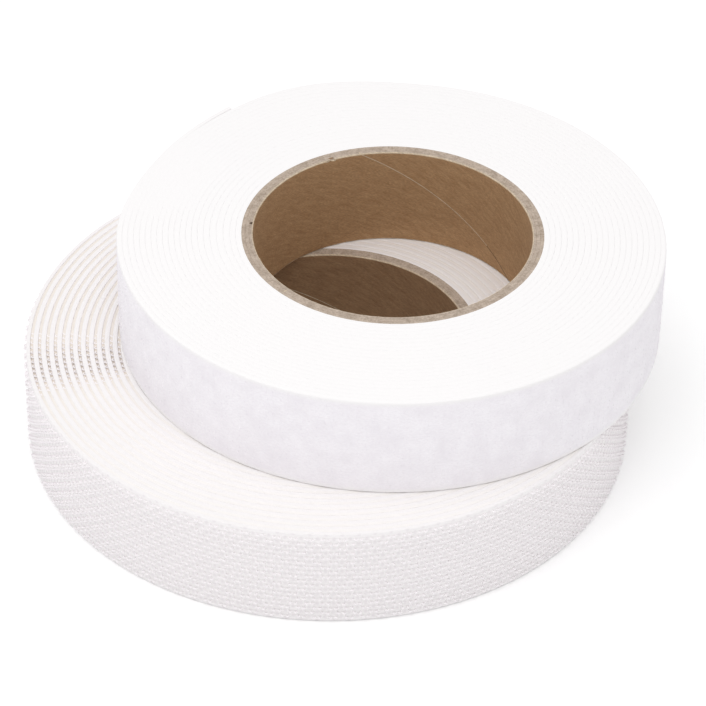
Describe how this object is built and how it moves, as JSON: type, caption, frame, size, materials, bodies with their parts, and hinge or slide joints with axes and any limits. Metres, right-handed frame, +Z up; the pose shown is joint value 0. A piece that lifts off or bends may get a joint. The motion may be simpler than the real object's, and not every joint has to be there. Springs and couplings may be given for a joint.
{
  "type": "hook and loop tape roll",
  "caption": "Matched rolls of white sew-on fastening tape, hook below and loop above, each wound on its own brown spiral paper core with a free end that peels off.",
  "frame": {"origin": "middle of the bounding box at the base of the lower roll, on the surface that the stack lies on", "axes": "+Z up along the axes of both rolls, +X along the longest side of the stack, towards which the upper roll is set off"},
  "size_m": [0.1754, 0.1676, 0.06],
  "materials": {
    "kraft_board": "matte brown kraft paperboard",
    "tab_tape": "satin double-sided tape",
    "hook_tape": "white woven nylon with a lattice of stiff hooks",
    "loop_tape": "white brushed nylon loop pile"
  },
  "bodies": {
    "hook_roll": {"hook_core_inner_ply": "kraft_board", "hook_core_middle_ply": "kraft_board", "hook_core_outer_ply": "kraft_board", "hook_core_tab": "tab_tape", "hook_tape": "hook_tape"},
    "hook_tail": {"hook_tape_tail": "hook_tape"},
    "loop_roll": {"loop_core_inner_ply": "kraft_board", "loop_core_middle_ply": "kraft_board", "loop_core_outer_ply": "kraft_board", "loop_core_tab": "tab_tape", "loop_tape": "loop_tape"},
    "loop_tail": {"loop_tape_tail": "loop_tape"}
  },
  "joints": [
    {"name": "loop_roll_lift", "type": "slide", "parent": "hook_roll", "child": "loop_roll", "axis": [0, 0, 1], "range_m": [0, 0.06]},
    {"name": "hook_tail_peel", "type": "hinge", "parent": "hook_roll", "child": "hook_tail", "pos_m": [-0.06788, 0.05481, 0.015], "axis": [0, 0, 1], "range_deg": [0, 90], "stiffness_Nm_per_rad": 0.003},
    {"name": "loop_tail_peel", "type": "hinge", "parent": "loop_roll", "child": "loop_tail", "pos_m": [-0.06107, 0.01768, 0.045], "axis": [0, 0, 1], "range_deg": [0, 90], "stiffness_Nm_per_rad": 0.003}
  ]
}
